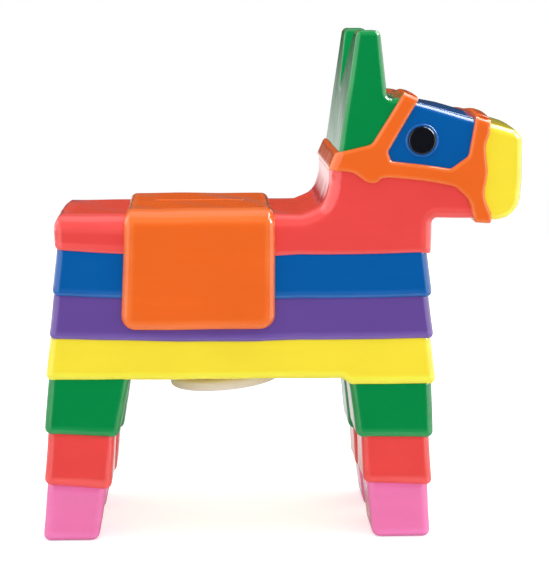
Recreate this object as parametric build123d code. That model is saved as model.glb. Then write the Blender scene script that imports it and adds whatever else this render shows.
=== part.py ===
from build123d import *

import os

# Money bank shaped as a pinata donkey: a slip-cast glazed ceramic shell, with a soft plastic stopper
# in its belly. Millimetres, +Z up, +X towards the donkey's nose, origin on the ground under the middle.
# The shell is written as its moulded and glazed steps, which meet face to face and share one hollow.

# --- Driving dimensions -------------------------------------------------------------------------

WALL = 4.5  # ceramic wall
HALF_WIDTH = 38.0  # half the body's width, at the proud lower edge of a band
SIDE_FLARE = 0.9  # how far a band's sides lean out from its top to its lower edge
EDGE_ROUND = 3.5  # rounding of upright corners
LIP_ROUND = 1.4  # rounding of a band's proud lower edge

# Legs, from the ground up. The legs on the far side (+Y) are glazed to other heights.
HOOF_HEIGHT, SHIN_HEIGHT = 22.5, 21.0
FAR_HOOF_HEIGHT, FAR_SHIN_HEIGHT = 17.5, 18.5
LEG_GAP = 16.0  # between a pair of legs, at their lower edges
HOOF_FLOOR = 5.0  # thickness of a hoof's closed bottom
THIGH_TOP, THIGH_BOTTOM = 33.3, 30.5  # lengths along X
SHIN_TOP, SHIN_BOTTOM = 27.5, 27.7
HOOF_TOP, HOOF_BOTTOM = 24.4, 23.0
HIND_STEP, HIND_FLARE = 1.3, 1.95  # how far a hind section starts inside the edge above, then leans out
FRONT_STEP, FRONT_FLARE = 1.9, 1.2

# Body bands, from the belly up
BELLY_HEIGHT = 67.4  # underside of the belly above the ground
FRONT_DROP = 2.9  # how much lower the belly band reaches over the front legs
BELLY_BAND, PURPLE_BAND, BLUE_BAND, BACK_BAND = 16.5, 17.5, 18.4, 14.8
RUMP_X, CHEST_X = -91.0, 61.4  # ends of the back's lower edge
RUMP_STEP, RUMP_FLARE = 0.5, 2.2
CHEST_STEP, CHEST_FLARE = 1.4, 2.4
BACK_ROUND = 4.2  # rounding of the back's top edges

# Saddle blanket
SADDLE_REAR, SADDLE_FRONT = -62.8, -2.2
SADDLE_DROP = 46.3  # how far its flaps hang below the top of the back
SADDLE_PROUD = 2.5
SADDLE_CORNER = 5.0
SADDLE_ROUND = 2.0

# Coin slot and belly opening
SLOT_LENGTH, SLOT_WIDTH = 36.0, 5.0
HOLE_DIAMETER = 37.0
HOLE_X = -22.0

# Stopper
PLUG_CLEARANCE = 0.06  # radial, in the belly opening
PLUG_WALL = 3.0
PLUG_REACH = 5.0  # how far the plug stands above the belly's floor
CAP_DIAMETER, CAP_THICKNESS = 47.0, 4.6
CAP_TILT = 5.0  # degrees, the rear of the cap hangs lower
CAP_GAP = 0.4  # from the front of the cap's rim to the belly
CAP_ROUND = 1.6

# Neck and head, with outlines measured from the top of the chest
NECK_FOOT = 5.0  # how deep the neck stands in the front of the back
NECK_RUN = 52.4  # from the chest to the foot of the nape
JAW_DROP = 1.5  # underside of the jaw below the top of the back
JAW_CORNER = 2.4
HALTER_PROUD = 1.5
HALTER_ROUND = 0.5
HEAD_ROUND = 2.2
EAR_TOP = 74.0  # tips of the ears above the top of the back
EAR_FOOT, EAR_FRONT, EAR_REAR = 19.6, 21.9, 31.1  # foot of the ears, and their tips, behind the chest
EAR_GAP_HALF = 23.5  # half the gap between the ears at their tips
EAR_GAP_DEPTH = 24.6  # from the tips to the bottom of the gap
BROW_BACK, BROW_UP = 13.0, 46.9  # rear of the brow strap behind the chest, and above the top of the back
BROW_FALL = 2.2  # from the rear of the brow strap to its front
CROWN_BACK = 34.6  # rear of the crown behind the chest, at the height of the brow
NOSE_REACH, NOSE_UP = 33.5, 33.6  # top of the nose before the chest, and above the top of the back
EYE_BACK, EYE_UP = 4.2, 31.0  # behind the chest, and above the top of the back
EYE_DIAMETER, EYE_PROUD, EYE_ROUND = 13.4, 2.2, 1.6

# --- Worked out from them -----------------------------------------------------------------------

BELLY_TOP = BELLY_HEIGHT + BELLY_BAND
PURPLE_TOP = BELLY_TOP + PURPLE_BAND
BLUE_TOP = PURPLE_TOP + BLUE_BAND
BACK_TOP = BLUE_TOP + BACK_BAND
UPPER_HALF = HALF_WIDTH - SIDE_FLARE / 2  # half the width of the back, neck and head
HOLLOW_HALF = HALF_WIDTH - SIDE_FLARE - WALL
NECK_BASE = BACK_TOP - NECK_FOOT
NECK_REAR = CHEST_X - NECK_RUN


def from_chest(x, z):
    """A point of a side outline, measured from the top of the chest."""
    return (CHEST_X + x, BACK_TOP + z)


# Corners that neighbouring sections of the head share
NAPE_POINTS = [from_chest(*p) for p in [(-44.9, 3.6), (-41.8, 11.0)]]
NAPE_LOW, NAPE_HIGH = from_chest(-41.4, 18.4), from_chest(-38.0, 24.9)
CROWN_CORNER = from_chest(-24.9, 28.6)
BROW_REAR, BROW_FRONT = from_chest(-BROW_BACK, BROW_UP), from_chest(-6.5, BROW_UP - BROW_FALL)
NOSE_REAR, NOSE_FRONT = from_chest(16.9, 38.3), from_chest(23.2, 36.5)
JAW_REAR, JAW_FRONT = from_chest(16.6, -JAW_DROP), from_chest(23.8, -JAW_DROP - 0.5)
PANEL_EDGE = [from_chest(*p) for p in [(-18.6, 25.8), (-16.9, 22.0), (7.2, 18.8), (14.2, 24.0), (16.9, 36.6)]]
CHEEK_POINTS = [(-32.5, 17.3), (-26.0, 13.2), (-22.4, 13.4), (-18.9, 15.2)]
CHEEK_POINTS += [(7.8, 11.7), (13.3, 7.8), (15.7, 3.0)]
MUZZLE_POINTS = [(21.2, 27.9), (22.2, 17.4), (21.0, 8.7), (23.6, 1.5)]


def cheek_line():
    """The wavy lower edge of the halter, from the nape to the jaw."""
    points = [NAPE_LOW, *[from_chest(*p) for p in CHEEK_POINTS], JAW_REAR]
    return Spline(*points, tangents=[(1, 0), (0, -1)]).edge()


def muzzle_line():
    """The wavy front edge of the halter, from the nose to the jaw."""
    return Spline(NOSE_FRONT, *[from_chest(*p) for p in MUZZLE_POINTS], JAW_FRONT).edge()


# --- Helpers ------------------------------------------------------------------------------------


def box_between(low, high):
    """A box from its low corner to its high one."""
    size = [b - a for a, b in zip(low, high)]
    return Pos(*low) * Box(*size, align=(Align.MIN, Align.MIN, Align.MIN))


def side_face(*runs):
    """A side outline in X and Z, from runs that are each a list of points or a curve."""
    edges = []
    for run in runs:
        edges += Polyline(*run).edges() if isinstance(run, list) else [run]
    return make_face(edges)


def both_ways(face, half_width):
    """Stands a side outline upright and gives it its width, both ways from the middle plane."""
    return extrude(Plane.XZ * face, half_width, both=True)


def side_rim(block, half_width, keep):
    """The edges of a block's two side faces whose middles pass the test, as one list for each side."""
    rims = []
    for side in (-half_width, half_width):
        rim = block.edges().filter_by(lambda e: abs((e @ 0).Y - side) < 0.01 and abs((e @ 1).Y - side) < 0.01)
        rims.append(rim.filter_by(lambda e: keep((e @ 0.5).X, (e @ 0.5).Z)))
    return rims


def soften(block, half_width, keep, radius):
    """Rounds those edges of the side faces, one side after the other."""
    for side in (0, 1):
        block = fillet(side_rim(block, half_width, keep)[side], radius)
    return block


def tier(x_top, x_bottom, y_top, y_bottom, z_top, z_bottom):
    """A block between two rounded rectangles, with its lower edge softened."""
    ends = []
    for x, y, z in ((x_top, y_top, z_top), (x_bottom, y_bottom, z_bottom)):
        middle = Pos((x[0] + x[1]) / 2, (y[0] + y[1]) / 2, z)
        ends.append(middle * RectangleRounded(x[1] - x[0], y[1] - y[0], EDGE_ROUND))
    block = loft(ends, ruled=True)
    return fillet(block.edges().group_by(Axis.Z)[0], LIP_ROUND)


# --- The one hollow inside the shell --------------------------------------------------------------


def trunk_hollow():
    low = (RUMP_X + WALL, -HOLLOW_HALF, BELLY_HEIGHT + WALL)
    high = (CHEST_X - WALL, HOLLOW_HALF, BACK_TOP - WALL)
    return box_between(low, high)


def head_hollow():
    """Follows the outside of the neck and head, one wall inside it."""
    nape = [(NECK_REAR, BACK_TOP), *NAPE_POINTS, NAPE_LOW, NAPE_HIGH]
    top = [from_chest(-CROWN_BACK, BROW_UP), BROW_REAR, BROW_FRONT, from_chest(NOSE_REACH, NOSE_UP)]
    nose = [from_chest(36.4, 20.0), from_chest(30.0, -JAW_DROP), from_chest(0.0, -JAW_DROP)]
    foot = [(CHEST_X, BLUE_TOP), (NECK_REAR, BLUE_TOP), (NECK_REAR, BACK_TOP)]
    skin = side_face(nape + top + nose + foot)
    return both_ways(offset(skin, -WALL, kind=Kind.INTERSECTION), HOLLOW_HALF)


def coin_slot():
    middle = (SADDLE_REAR + SADDLE_FRONT) / 2
    height = SADDLE_PROUD + WALL
    return Pos(middle, 0, BACK_TOP) * Box(SLOT_LENGTH, SLOT_WIDTH, 3 * height)


# --- Trunk ----------------------------------------------------------------------------------------


def band_ends(number):
    """Rear and front ends of a body band, at its top and at its lower edge, counted down from the back."""
    rear = RUMP_X + number * RUMP_STEP - (number - 1) * RUMP_FLARE
    front = CHEST_X - number * CHEST_STEP + (number - 1) * CHEST_FLARE
    return (rear, front), (rear - RUMP_FLARE, front + CHEST_FLARE)


def band_block(number, z_top, z_bottom):
    top, bottom = band_ends(number)
    narrow = HALF_WIDTH - SIDE_FLARE
    return tier(top, bottom, (-narrow, narrow), (-HALF_WIDTH, HALF_WIDTH), z_top, z_bottom)


def belly_block():
    """The lowest band, cut higher everywhere but over the front legs."""
    block = band_block(3, BELLY_TOP, BELLY_HEIGHT - FRONT_DROP)
    edge = leg_ends("front", 0)[0][0]
    ramp = [(edge, BELLY_HEIGHT - FRONT_DROP), (edge - FRONT_DROP, BELLY_HEIGHT)]
    under = side_face(ramp + [(2 * RUMP_X, BELLY_HEIGHT), (2 * RUMP_X, 0), (edge, 0), ramp[0]])
    return block - both_ways(under, 2 * HALF_WIDTH)


def belly_band():
    shell = belly_block() - trunk_hollow()
    shell -= Pos(HOLE_X, 0, BELLY_HEIGHT) * Cylinder(HOLE_DIAMETER / 2, 4 * WALL)
    for end in ("hind", "front"):
        for side in (-1, 1):
            shell -= leg_hollow(end, side, 0, BELLY_TOP - WALL, BELLY_HEIGHT - 2 * FRONT_DROP)
    return shell


def back_block():
    """The top band, with a rounded rear and a step in its front that the neck stands in."""
    rear = [(RUMP_X, BLUE_TOP), (RUMP_X, BACK_TOP), (NECK_REAR, BACK_TOP), (NECK_REAR, NECK_BASE)]
    face = side_face(rear + [(CHEST_X, NECK_BASE), (CHEST_X, BLUE_TOP), (RUMP_X, BLUE_TOP)])
    block = both_ways(face, UPPER_HALF)
    upright = block.edges().filter_by(Axis.Z)
    block = fillet(upright.filter_by(lambda e: (e @ 0.5).X > CHEST_X - 0.01), EDGE_ROUND)
    rump = block.edges().filter_by(lambda e: (e @ 0.5).X < RUMP_X + 0.01 and (e @ 0.5).Z > BLUE_TOP + 0.01)
    near, far = side_rim(block, UPPER_HALF, lambda x, z: z > BACK_TOP - 0.01)
    block = fillet(rump + near + far, BACK_ROUND)
    return fillet(block.edges().group_by(Axis.Z)[0], LIP_ROUND)


def saddle_blanket():
    """A raised flap over the back and down both sides, cut to the bands under it."""
    reach = HALF_WIDTH + SADDLE_PROUD
    low = (SADDLE_REAR, -reach, BACK_TOP - SADDLE_DROP)
    block = box_between(low, (SADDLE_FRONT, reach, BACK_TOP + SADDLE_PROUD))
    corners = block.edges().filter_by(Axis.Y).group_by(Axis.Z)[0]
    block = fillet(corners, SADDLE_CORNER)
    block = soften(block, reach, lambda x, z: True, SADDLE_ROUND)
    under = back_block() + band_block(1, BLUE_TOP, PURPLE_TOP) + band_block(2, PURPLE_TOP, BELLY_TOP)
    under += box_between((2 * RUMP_X, -HOLLOW_HALF, 0), (2 * CHEST_X, HOLLOW_HALF, BACK_TOP - WALL))
    return block - under - coin_slot()


# --- Legs -----------------------------------------------------------------------------------------

SECTIONS = ("thigh", "shin", "hoof")
LENGTHS = ((THIGH_TOP, THIGH_BOTTOM), (SHIN_TOP, SHIN_BOTTOM), (HOOF_TOP, HOOF_BOTTOM))


def leg_ends(end, number):
    """Rear and front of a leg section, at its top and at its bottom, counted down from the thigh."""
    belly_rear, belly_front = band_ends(3)[1]
    length_top, length_bottom = LENGTHS[number]
    if end == "hind":
        rear = belly_rear + (number + 1) * HIND_STEP - number * HIND_FLARE
        return (rear, rear + length_top), (rear - HIND_FLARE, rear - HIND_FLARE + length_bottom)
    front = belly_front - (number + 1) * FRONT_STEP + number * FRONT_FLARE
    return (front - length_top, front), (front + FRONT_FLARE - length_bottom, front + FRONT_FLARE)


def leg_heights(end, side):
    """Heights of the joins of a leg, from its top down to the ground."""
    hoof, shin = (HOOF_HEIGHT, SHIN_HEIGHT) if side < 0 else (FAR_HOOF_HEIGHT, FAR_SHIN_HEIGHT)
    top = BELLY_HEIGHT if end == "hind" else BELLY_HEIGHT - FRONT_DROP
    return (top, hoof + shin, hoof, 0)


def across(side, inner, outer):
    """A span across the body, on one side of the middle plane."""
    return (inner, outer) if side > 0 else (-outer, -inner)


def leg_hollow(end, side, number, z_top, z_bottom):
    (rear_top, front_top), (rear_bottom, front_bottom) = leg_ends(end, number)
    rear, front = max(rear_top, rear_bottom) + WALL, min(front_top, front_bottom) - WALL
    inner = LEG_GAP / 2 + SIDE_FLARE + WALL
    near, far = across(side, inner, HOLLOW_HALF)
    return box_between((rear, near, z_bottom), (front, far, z_top))


def leg_section(end, side, number):
    z_top, z_bottom = leg_heights(end, side)[number : number + 2]
    top, bottom = leg_ends(end, number)
    inner = LEG_GAP / 2
    y_top = across(side, inner + SIDE_FLARE, HALF_WIDTH - SIDE_FLARE)
    block = tier(top, bottom, y_top, across(side, inner, HALF_WIDTH), z_top, z_bottom)
    floor = HOOF_FLOOR if SECTIONS[number] == "hoof" else z_bottom - WALL
    return block - leg_hollow(end, side, number, z_top + WALL, floor)


# --- Neck and head --------------------------------------------------------------------------------


def neck():
    nape = Spline((NECK_REAR, BACK_TOP), *NAPE_POINTS, NAPE_LOW).edge()
    jaw_corner = from_chest(JAW_CORNER, -JAW_DROP)
    chest_corner = from_chest(0, -JAW_DROP - JAW_CORNER)
    inside = RadiusArc(jaw_corner, chest_corner, JAW_CORNER).edge()
    foot = [chest_corner, (CHEST_X, NECK_BASE), (NECK_REAR, NECK_BASE), (NECK_REAR, BACK_TOP)]
    face = side_face(nape, cheek_line(), [JAW_REAR, jaw_corner], inside, foot)
    block = both_ways(face, UPPER_HALF)
    block = soften(block, UPPER_HALF, lambda x, z: x > CHEST_X - 0.01 and z < JAW_REAR[1] + 0.01, HEAD_ROUND)
    block = soften(block, UPPER_HALF, lambda x, z: x < NAPE_LOW[0] and z > BACK_TOP, EDGE_ROUND)
    return block - head_hollow() - trunk_hollow()


def crown_with_ears():
    base = [NAPE_HIGH, CROWN_CORNER, BROW_REAR]
    tips = [from_chest(-EAR_FRONT, EAR_TOP), from_chest(-EAR_REAR, EAR_TOP)]
    outline = [*base, from_chest(-EAR_FOOT, BROW_UP), *tips, NAPE_HIGH]
    block = both_ways(side_face(outline), UPPER_HALF)
    block = fillet(block.edges().filter_by(Axis.Y).group_by(Axis.Z)[-1], HEAD_ROUND)
    block = soften(block, UPPER_HALF, lambda x, z: z > CROWN_CORNER[1], HEAD_ROUND)
    return block - ear_gap() - head_hollow()


def ear_gap():
    """The gap between the ears: a V that narrows evenly from their tips down to the crown."""
    tip, wide = BACK_TOP + EAR_TOP, 2 * EAR_GAP_HALF
    foot, high = (0, tip - EAR_GAP_DEPTH), tip + EAR_GAP_DEPTH
    notch = Plane.YZ * make_face(Polyline(foot, (wide, high), (-wide, high), foot))
    return extrude(notch, CHEST_X - EYE_BACK, both=False)


def halter():
    proud = HALTER_PROUD
    nape = [NAPE_LOW, shift(NAPE_LOW, -proud, 0), shift(NAPE_HIGH, -proud, 0.4), NAPE_HIGH]
    brow = [NAPE_HIGH, CROWN_CORNER, BROW_REAR, shift(BROW_REAR, 0.3, proud), shift(BROW_FRONT, -0.2, proud)]
    nose = [BROW_FRONT] + PANEL_EDGE + [NOSE_REAR, shift(NOSE_REAR, 0.2, proud), shift(NOSE_FRONT, 0, proud)]
    jaw = [JAW_FRONT, shift(JAW_FRONT, -0.3, -proud), shift(JAW_REAR, 0.6, -proud), JAW_REAR]
    outline = nape + brow[1:] + nose + [NOSE_FRONT]
    block = both_ways(side_face(outline, muzzle_line(), jaw, cheek_line()), UPPER_HALF + proud)
    block = soften(block, UPPER_HALF + proud, lambda x, z: True, HALTER_ROUND)
    return block - head_hollow()


def shift(point, x, z):
    return (point[0] + x, point[1] + z)


def face_panel():
    block = both_ways(side_face([BROW_FRONT] + PANEL_EDGE + [NOSE_REAR, BROW_FRONT]), UPPER_HALF)
    block = soften(block, UPPER_HALF, lambda x, z: z > NOSE_REAR[1], HEAD_ROUND)
    return block - head_hollow()


def muzzle():
    front = [NOSE_FRONT, from_chest(36.2, 32.9), from_chest(36.6, 20.0), from_chest(34.4, 5.0)]
    front += [from_chest(30.0, -JAW_DROP), JAW_FRONT]
    rounded = FilletPolyline(*front, radius=[3.2, 8.0, 8.0, 3.0]).edges()
    block = both_ways(make_face(list(rounded) + [muzzle_line()]), UPPER_HALF)
    block = soften(block, UPPER_HALF, lambda x, z: x > NOSE_FRONT[0] or z < JAW_FRONT[1] + 0.01, HEAD_ROUND)
    return block - head_hollow()


def eye(side):
    """A low dome on the face panel."""
    dome = Cylinder(EYE_DIAMETER / 2, EYE_PROUD, align=(Align.CENTER, Align.CENTER, Align.MIN))
    dome = fillet(dome.edges().group_by(Axis.Z)[-1], EYE_ROUND)
    x, z = from_chest(-EYE_BACK, EYE_UP)
    return Pos(x, side * UPPER_HALF, z) * Rot(-90 * side, 0, 0) * dome


# --- Stopper --------------------------------------------------------------------------------------


def belly_stopper():
    """A hollow plug with a wide cap that hangs a little askew."""
    radius = HOLE_DIAMETER / 2 - PLUG_CLEARANCE
    cap_centre = BELLY_HEIGHT - CAP_GAP - CAP_DIAMETER / 2 * sin_deg(CAP_TILT) - CAP_THICKNESS / 2
    cap = Cylinder(CAP_DIAMETER / 2, CAP_THICKNESS)
    cap = fillet(cap.edges().filter_by(GeomType.CIRCLE), CAP_ROUND)
    cap = Pos(HOLE_X, 0, cap_centre) * Rot(0, -CAP_TILT, 0) * cap
    top = BELLY_HEIGHT + WALL + PLUG_REACH
    up = (Align.CENTER, Align.CENTER, Align.MIN)
    plug = Pos(HOLE_X, 0, cap_centre) * Cylinder(radius, top - cap_centre, align=up)
    inside = Pos(HOLE_X, 0, BELLY_HEIGHT) * Cylinder(radius - PLUG_WALL, top, align=up)
    return cap + (plug - inside)


def sin_deg(angle):
    return Vector(1, 0, 0).rotate(Axis.Z, angle).Y


# --- Files ----------------------------------------------------------------------------------------


def sections():
    """Every named section, by node name."""
    inside = trunk_hollow()
    named = {
        "back": back_block() - inside - coin_slot() - head_hollow(),
        "blue_band": band_block(1, BLUE_TOP, PURPLE_TOP) - inside,
        "purple_band": band_block(2, PURPLE_TOP, BELLY_TOP) - inside,
        "belly_band": belly_band(),
        "saddle_blanket": saddle_blanket(),
        "neck": neck(),
        "crown_with_ears": crown_with_ears(),
        "halter": halter(),
        "face_panel": face_panel(),
        "muzzle": muzzle(),
        "near_eye": eye(-1),
        "far_eye": eye(1),
        "belly_stopper": belly_stopper(),
    }
    for end in ("hind", "front"):
        for side, word in ((-1, "near"), (1, "far")):
            for number, section in enumerate(SECTIONS):
                named[f"{word}_{end}_{section}"] = leg_section(end, side, number)
    return named


os.makedirs("parts", exist_ok=True)
for name, shape in sections().items():
    export_step(shape, f"parts/{name}.step")
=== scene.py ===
"""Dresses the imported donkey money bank: hand-glazed ceramic bands, legs and head, and a soft plastic stopper."""

import math

import bpy
import numpy as np
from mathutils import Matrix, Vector


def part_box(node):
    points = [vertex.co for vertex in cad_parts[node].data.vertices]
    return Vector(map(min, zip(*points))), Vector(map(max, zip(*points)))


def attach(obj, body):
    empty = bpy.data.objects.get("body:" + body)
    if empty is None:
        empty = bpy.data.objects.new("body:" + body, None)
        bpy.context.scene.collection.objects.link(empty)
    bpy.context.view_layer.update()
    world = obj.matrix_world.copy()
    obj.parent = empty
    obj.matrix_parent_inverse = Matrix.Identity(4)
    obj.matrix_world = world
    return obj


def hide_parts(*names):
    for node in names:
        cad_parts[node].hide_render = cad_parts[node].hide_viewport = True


bl_info = {
    "name": "Pinata donkey bank",
    "version": (1, 0, 0),
    "blender": (4, 5, 0),
    "location": "3D View > Sidebar > Donkey bank",
    "description": "Builds a glazed ceramic donkey bank round its packed solids",
    "category": "Object",
}

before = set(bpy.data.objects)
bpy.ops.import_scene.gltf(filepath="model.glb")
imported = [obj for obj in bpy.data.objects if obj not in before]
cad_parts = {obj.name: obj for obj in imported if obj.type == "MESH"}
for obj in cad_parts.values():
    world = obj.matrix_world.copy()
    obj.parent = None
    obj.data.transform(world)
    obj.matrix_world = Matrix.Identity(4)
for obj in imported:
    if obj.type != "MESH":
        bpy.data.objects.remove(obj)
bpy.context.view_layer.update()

MM = 0.001  # lengths below are millimetres where they say so, and meshes are metres
QUARTER = math.pi / 2


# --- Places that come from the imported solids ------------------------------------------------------


def span(node):
    """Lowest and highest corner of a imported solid, in millimetres."""
    low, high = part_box(node)
    return np.array(low) / MM, np.array(high) / MM


CHEST_X, HEAD_HALF, BACK_TOP = span("back")[1]
BELLY_HEIGHT = span("near_hind_thigh")[1][2]
HOLE_X = sum(corner[0] for corner in span("belly_stopper")) / 2


def head(x, z):
    """A point of the side outline, measured from the top of the chest in millimetres."""
    return (CHEST_X + x, BACK_TOP + z)


def heads(*places):
    """Several such points."""
    return [head(*place) for place in places]


# --- Curves ---------------------------------------------------------------------------------------


def unit(v):
    """A vector of length 1 that points the same way."""
    return v / np.linalg.norm(v)


def rounded(points, radii, steps=8):
    """A polyline with its inner corners turned into arcs. An arc touches both sides at the radius times
    the tangent of half the turn, and its points turn evenly from one to the other."""
    p = np.array(points, float)
    runs = [p[:1]]
    for before, corner, after, radius in zip(p[:-2], p[1:-1], p[2:], radii):
        a, b = unit(corner - before), unit(after - corner)
        turn = math.acos(np.clip(a @ b, -1, 1))
        if radius <= 0 or turn < 0.01:
            runs.append(corner[None])
            continue
        reach = radius * math.tan(turn / 2)
        centre = corner + unit(b - a) * radius / math.cos(turn / 2)
        start, end = (corner - a * reach - centre), (corner + b * reach - centre)
        f = np.linspace(0, 1, steps + 1)[:, None]
        runs.append(centre + (np.sin((1 - f) * turn) * start + np.sin(f * turn) * end) / math.sin(turn))
    return np.concatenate(runs + [p[-1:]])


def flowing(points, steps=8):
    """A smooth curve through the points: on each step a cubic whose slope at a point is half the way between
    the points before and after it."""
    p = np.array(points, float)
    slope = np.gradient(p, axis=0)
    f = np.linspace(0, 1, steps, endpoint=False)[None, :, None]
    a, b, sa, sb = p[:-1, None], p[1:, None], slope[:-1, None], slope[1:, None]
    curve = (2 * f**3 - 3 * f**2 + 1) * a + (f**3 - 2 * f**2 + f) * sa
    curve = curve + (3 * f**2 - 2 * f**3) * b + (f**3 - f**2) * sb
    return np.concatenate([curve.reshape(-1, 2), p[-1:]])


EASES = {
    "even": lambda f: f,
    "start": lambda f: 1 - np.cos(f * QUARTER),
    "end": lambda f: np.sin(f * QUARTER),
    "both": lambda f: (1 - np.cos(f * math.pi)) / 2,
}


def spread(marks, counts, eases):
    """Values from each mark towards the next, as many as its count, even or crowded towards an end as its
    ease says; then the last mark."""
    runs = [
        a + (b - a) * EASES[ease](np.arange(n) / n)
        for a, b, n, ease in zip(marks[:-1], marks[1:], counts, eases)
    ]
    return np.concatenate([*runs, [marks[-1]]])


def walk(curve, stops, counts, eases):
    """Points along a curve, spread between the places on it that are nearest to the stops."""
    curve = np.array(curve, float)
    run = np.concatenate([[0], np.cumsum(np.linalg.norm(np.diff(curve, axis=0), axis=1))])

    def places(at):
        return np.stack([np.interp(at, run, curve[:, k]) for k in (0, 1)], 1)

    fine = np.linspace(0, run[-1], 6000)
    tried = places(fine)
    marks = [fine[np.argmin(np.linalg.norm(tried - np.array(s), axis=1))] for s in stops]
    marks[0], marks[-1] = 0, run[-1]
    return places(spread(marks, counts, eases))


def paired(first, second, stops):
    """Points along two curves that face each other. A stop is its place on the first curve and on the second,
    how many points go on from it, and how they are spread."""
    counts, eases = zip(*(stop[2:] for stop in stops[:-1]))
    return [walk(curve, [s[k] for s in stops], counts, eases) for k, curve in enumerate((first, second))]


def distance(points, line):
    """Distance in the plane from each point to the nearest part of a polyline."""
    start, end = line[:-1], line[1:]
    way = end - start
    length = np.maximum((way**2).sum(1), 1e-9)
    offset = points[:, None, :] - start[None]
    along = np.clip((offset * way[None]).sum(2) / length, 0, 1)
    return np.sqrt(((offset - along[..., None] * way[None]) ** 2).sum(2)).min(1)


def quarter_round(depth, radius):
    """How far a face has dropped at a distance in from its edge: a quarter circle of the radius."""
    inside = np.clip(1 - depth / radius, 0, 1)
    return radius * (1 - np.sqrt(1 - inside**2))


def smooth(f):
    """0 up to 0 and 1 from 1 on, with a level start and end between."""
    f = np.clip(f, 0, 1)
    return f * f * (3 - 2 * f)


# --- Surfaces -------------------------------------------------------------------------------------


def ring_quads(rows, columns, closed):
    """Quads between rows of closed loops of points; if closed, the last row also joins the first."""
    i = np.arange(rows if closed else rows - 1)[:, None]
    j = np.arange(columns)[None]
    above, beside = (i + 1) % rows, (j + 1) % columns
    corners = (i * columns + j, i * columns + beside, above * columns + beside, above * columns + j)
    return np.stack(np.broadcast_arrays(*corners), -1).reshape(-1, 4)


def tube(loops, poles=None):
    """Points and faces of a stack of closed loops, anticlockwise seen from above, each joined to the next.
    With two poles the end loops close on them as fans; without, the last loop joins the first."""
    rows, columns = loops.shape[:2]
    points = loops.reshape(-1, 3)
    faces = ring_quads(rows, columns, poles is None).tolist()
    if poles is not None:
        first, last = rows * columns, rows * columns + 1
        points = np.concatenate([points, np.array(poles, float)])
        j = np.arange(columns)
        beside = (j + 1) % columns
        top = (rows - 1) * columns
        faces += np.stack([np.full(columns, first), beside, j], 1).tolist()
        faces += np.stack([top + j, top + beside, np.full(columns, last)], 1).tolist()
    return points, faces


def rim_of(i0, i1, j0, j1, columns):
    """Grid points round a rectangle of a grid, in one turn."""
    i, j = np.arange(i0, i1), np.arange(j0, j1)
    sides = (i0 * columns + j, i * columns + j1, i1 * columns + j[::-1] + 1, (i[::-1] + 1) * columns + j0)
    return np.concatenate(sides)


def two_sheets(front, back, rows, hole=None):
    """Closes two grids of points that face away from each other with a wall round their rims, whose rows
    run straight from one rim to the other. A rectangular hole in the grids gets a wall of its own."""
    n, m = front.shape[:2]
    i, j = np.meshgrid(np.arange(n - 1), np.arange(m - 1), indexing="ij")
    kept = np.ones(i.shape, bool)
    rims = [(rim_of(0, n - 1, 0, m - 1, m), False)]
    if hole:
        i0, i1, j0, j1 = hole
        kept[i0:i1, j0:j1] = False
        rims.append((rim_of(i0, i1, j0, j1, m), True))
    corner = (i * m + j)[kept]
    sheet = np.stack([corner, corner + 1, corner + m + 1, corner + m], 1)
    points = [front.reshape(-1, 3), back.reshape(-1, 3)]
    faces = [sheet, sheet[:, ::-1] + n * m]
    used = 2 * n * m
    for rim, inner in rims:
        between = np.linspace(0, 1, rows + 1)[1:-1, None, None]
        middle = points[0][rim] * (1 - between) + points[1][rim] * between
        levels = [rim, *(used + np.arange((rows - 1) * len(rim)).reshape(rows - 1, -1)), rim + n * m]
        points.append(middle.reshape(-1, 3))
        used += (rows - 1) * len(rim)
        levels = np.array(levels)
        here, there = levels[:-1], levels[1:]
        wall = np.stack([np.roll(here, -1, 1), here, there, np.roll(there, -1, 1)], -1).reshape(-1, 4)
        faces.append(wall[:, ::-1] if inner else wall)
    points, faces = np.concatenate(points), np.concatenate(faces)
    keep = np.unique(faces)
    place = np.full(len(points), -1)
    place[keep] = np.arange(len(keep))
    return points[keep], place[faces]


def box_loop(x0, x1, y0, y1, radius, z, counts):
    """Loops round rectangles with quarter-circle corners, one for each row of the values given, with so many
    points along X, along Y and round a corner."""
    cols = np.broadcast_arrays(*[np.atleast_1d(np.asarray(v, float)) for v in (x0, x1, y0, y1, radius, z)])
    x0, x1, y0, y1, radius, z = (c[:, None] for c in cols)
    along_x = np.linspace(0, 1, counts[0] + 2)[None, 1:-1]
    along_y = np.linspace(0, 1, counts[1] + 2)[None, 1:-1]
    turn = np.linspace(0, QUARTER, counts[2])[None]
    xa, xb, ya, yb = x0 + radius, x1 - radius, y0 + radius, y1 - radius
    flat = np.zeros_like
    runs = [
        (x1 + flat(along_y), ya + (yb - ya) * along_y),
        (xb + radius * np.cos(turn), yb + radius * np.sin(turn)),
        (xb + (xa - xb) * along_x, y1 + flat(along_x)),
        (xa - radius * np.sin(turn), yb + radius * np.cos(turn)),
        (x0 + flat(along_y), yb + (ya - yb) * along_y),
        (xa - radius * np.cos(turn), ya - radius * np.sin(turn)),
        (xa + (xb - xa) * along_x, y0 + flat(along_x)),
        (xb + radius * np.sin(turn), ya - radius * np.cos(turn)),
    ]
    x = np.concatenate([r[0] for r in runs], 1)
    y = np.concatenate([r[1] for r in runs], 1)
    return np.stack([x, y, z + np.zeros_like(x)], -1)


# --- The hand-made unevenness ---------------------------------------------------------------------

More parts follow.
